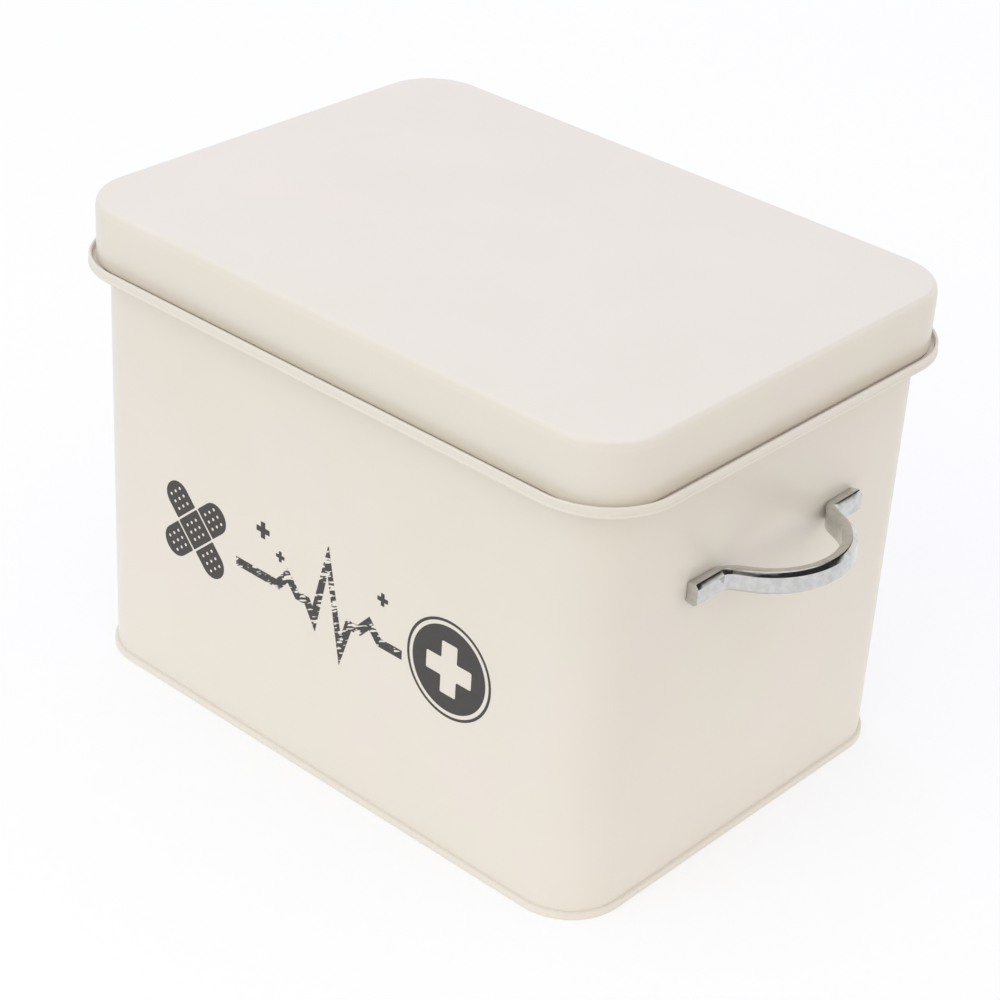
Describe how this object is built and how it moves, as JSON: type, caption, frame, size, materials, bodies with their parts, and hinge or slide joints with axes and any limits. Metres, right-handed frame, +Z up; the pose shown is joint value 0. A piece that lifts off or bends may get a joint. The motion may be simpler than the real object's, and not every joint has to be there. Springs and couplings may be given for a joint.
{
  "type": "lidded medicine case",
  "caption": "Sheet-metal medicine case with a lift-off lid, a stepped rim, a lift-out divided tray and a cast bow handle on each end.",
  "frame": {"origin": "centre of the base's footprint, on the surface that the case stands on", "axes": "+X along the case's long side, towards the end wall of right_handle; +Y towards the back wall with the lock seam, so the front faces -Y; +Z up"},
  "size_m": [0.3084, 0.197, 0.1906],
  "materials": {
    "cream_coat": "satin powder coat, cream",
    "handle_chrome": "bright chrome plate on a casting",
    "zinc_plate": "bright zinc plate"
  },
  "bodies": {
    "case": {"body": "cream_coat", "base_panel": "cream_coat", "right_handle": "handle_chrome", "left_handle": "handle_chrome", "right_front_screw": "zinc_plate", "right_back_screw": "zinc_plate", "left_front_screw": "zinc_plate", "left_back_screw": "zinc_plate", "right_front_washer": "zinc_plate", "right_back_washer": "zinc_plate", "left_front_washer": "zinc_plate", "left_back_washer": "zinc_plate"},
    "tray": {"tray": "cream_coat", "tray_long_divider": "cream_coat", "tray_left_divider": "cream_coat", "tray_right_divider": "cream_coat"},
    "lid": {"lid": "cream_coat"}
  },
  "joints": [
    {"name": "tray_lift", "type": "slide", "parent": "case", "child": "tray", "axis": [0, 0, 1], "range_m": [0, 0.07]},
    {"name": "lid_lift", "type": "slide", "parent": "tray", "child": "lid", "axis": [0, 0, 1], "range_m": [0, 0.08]}
  ]
}
